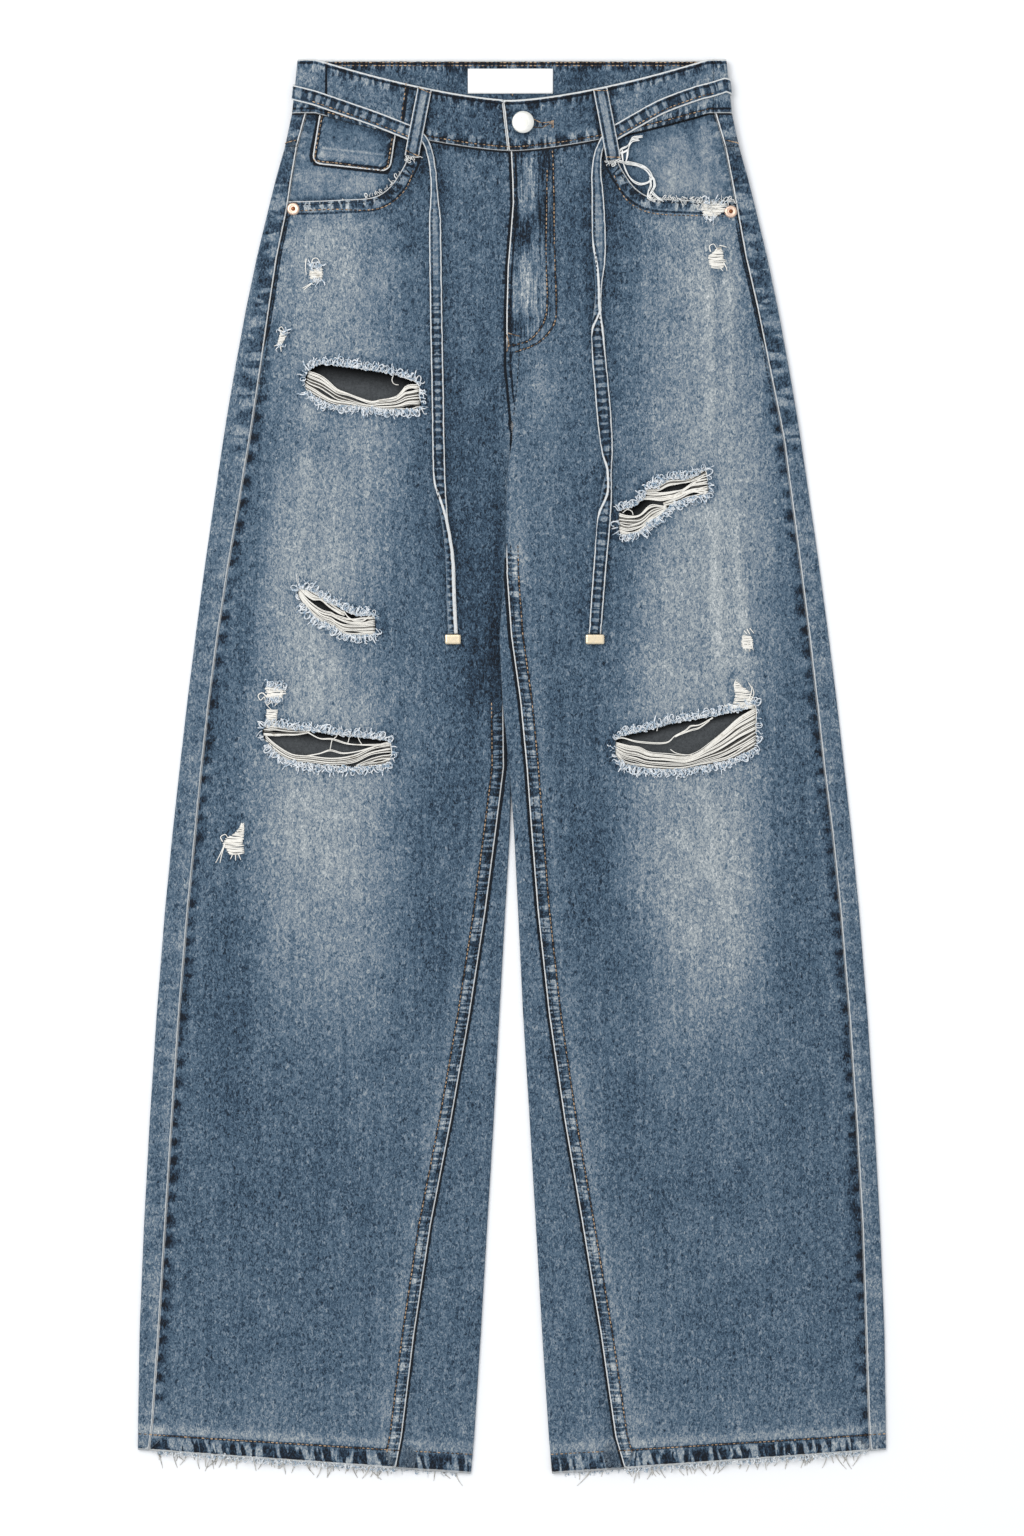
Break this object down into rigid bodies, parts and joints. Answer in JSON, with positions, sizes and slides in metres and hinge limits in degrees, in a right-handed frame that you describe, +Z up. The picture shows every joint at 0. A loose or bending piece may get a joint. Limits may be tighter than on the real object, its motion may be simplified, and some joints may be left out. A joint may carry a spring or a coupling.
{
  "type": "ripped jeans",
  "caption": "Straight-leg denim jeans laid flat on their back, buttoned, ripped through at the thighs and knees, with a denim tie through the belt loops.",
  "frame": {"origin": "on the surface that the jeans lie on, under the middle of their outline without the tie's free ends", "axes": "+Y along the legs towards the waist, +Z up out of the front, so that the wearer's left is at +X"},
  "size_m": [0.5722, 1.08, 0.0139],
  "materials": {
    "washed_denim": "stone-washed indigo twill, faded on the thighs and knees",
    "worn_denim": "the same twill, paler with wear on raised pieces",
    "label_cotton": "off-white woven cotton, bare",
    "silver_metal": "satin silver plating",
    "rose_brass": "worn copper-toned brass",
    "pale_brass": "pale polished brass"
  },
  "bodies": {
    "root": {"front_panel_right": "washed_denim", "front_panel_left": "washed_denim", "back_panel_right": "washed_denim", "back_panel_left": "washed_denim", "back_yoke_right": "washed_denim", "back_yoke_left": "washed_denim", "back_pocket_right": "washed_denim", "back_pocket_left": "washed_denim", "waistband_front_right": "washed_denim", "waistband_front_left": "washed_denim", "waistband_back": "washed_denim", "tie_belt": "washed_denim", "tie_end_right": "washed_denim", "tie_end_left": "washed_denim", "pocket_facing_right": "worn_denim", "pocket_facing_left": "worn_denim", "coin_pocket": "worn_denim", "belt_loop_front_right": "worn_denim", "belt_loop_front_left": "worn_denim", "belt_loop_back_right": "worn_denim", "belt_loop_back_centre": "worn_denim", "belt_loop_back_left": "worn_denim", "neck_label": "label_cotton", "waist_button": "silver_metal", "pocket_rivet_right": "rose_brass", "pocket_rivet_left": "rose_brass", "tie_tip_right": "pale_brass", "tie_tip_left": "pale_brass"}
  },
  "joints": []
}
